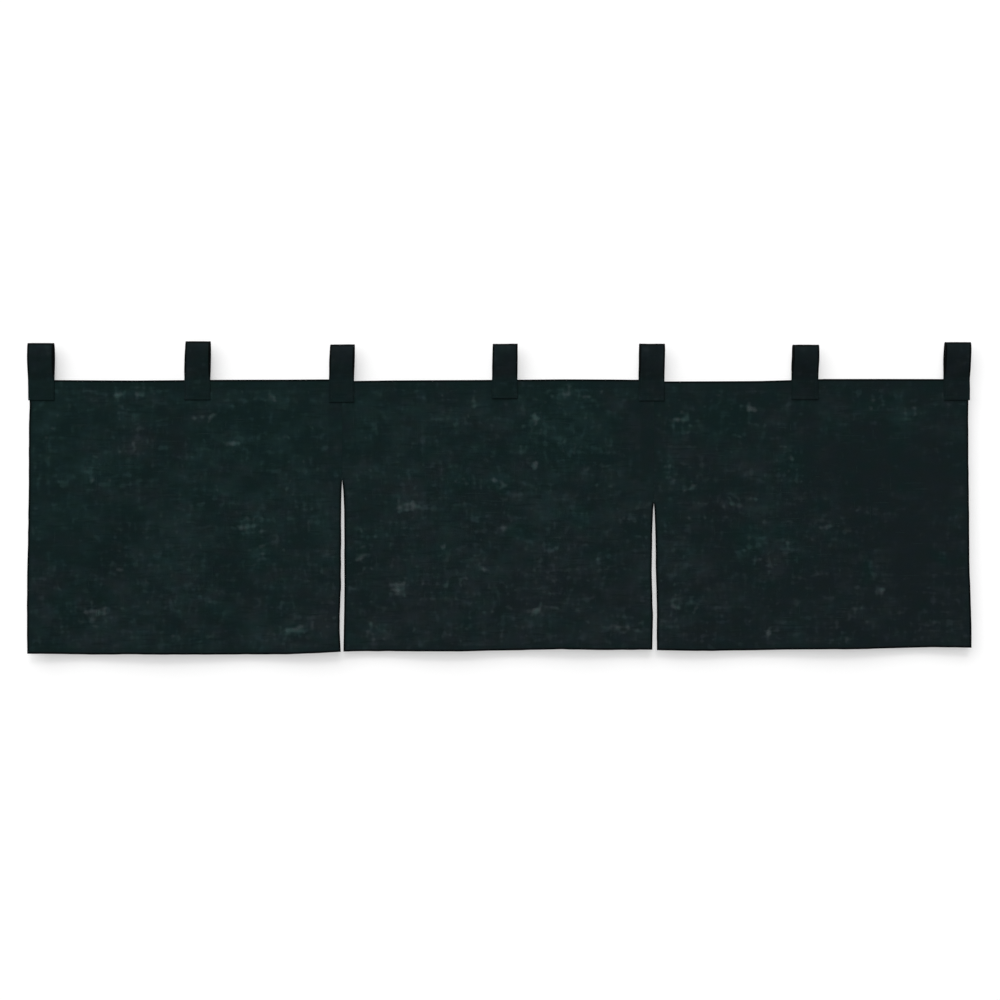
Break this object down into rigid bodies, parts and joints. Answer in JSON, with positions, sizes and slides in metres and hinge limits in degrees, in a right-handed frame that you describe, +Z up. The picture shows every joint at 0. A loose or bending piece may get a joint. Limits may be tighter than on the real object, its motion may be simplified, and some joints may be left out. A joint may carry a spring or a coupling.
{
  "type": "noren curtain",
  "caption": "Short wide doorway curtain of dark green-black slub cloth: panels sewn edge to edge and open as slits below, with folded cloth tabs along the top for a pole.",
  "frame": {"origin": "middle of the width, on the line where a pole through the tabs lies", "axes": "+X along the width to the right as seen from the front, +Y to the back so that the front faces -Y, +Z up"},
  "size_m": [1.3016, 0.0172, 0.4324],
  "materials": {
    "panel_cloth": "matt open slub weave, dark green-black, lighter where the weave is thin",
    "tab_cloth": "matt slub weave folded double, so it is denser and darker"
  },
  "bodies": {
    "root": {"panel_left": "panel_cloth", "panel_middle": "panel_cloth", "panel_right": "panel_cloth", "tab_1": "tab_cloth", "tab_2": "tab_cloth", "tab_3": "tab_cloth", "tab_4": "tab_cloth", "tab_5": "tab_cloth", "tab_6": "tab_cloth", "tab_7": "tab_cloth"}
  },
  "joints": []
}
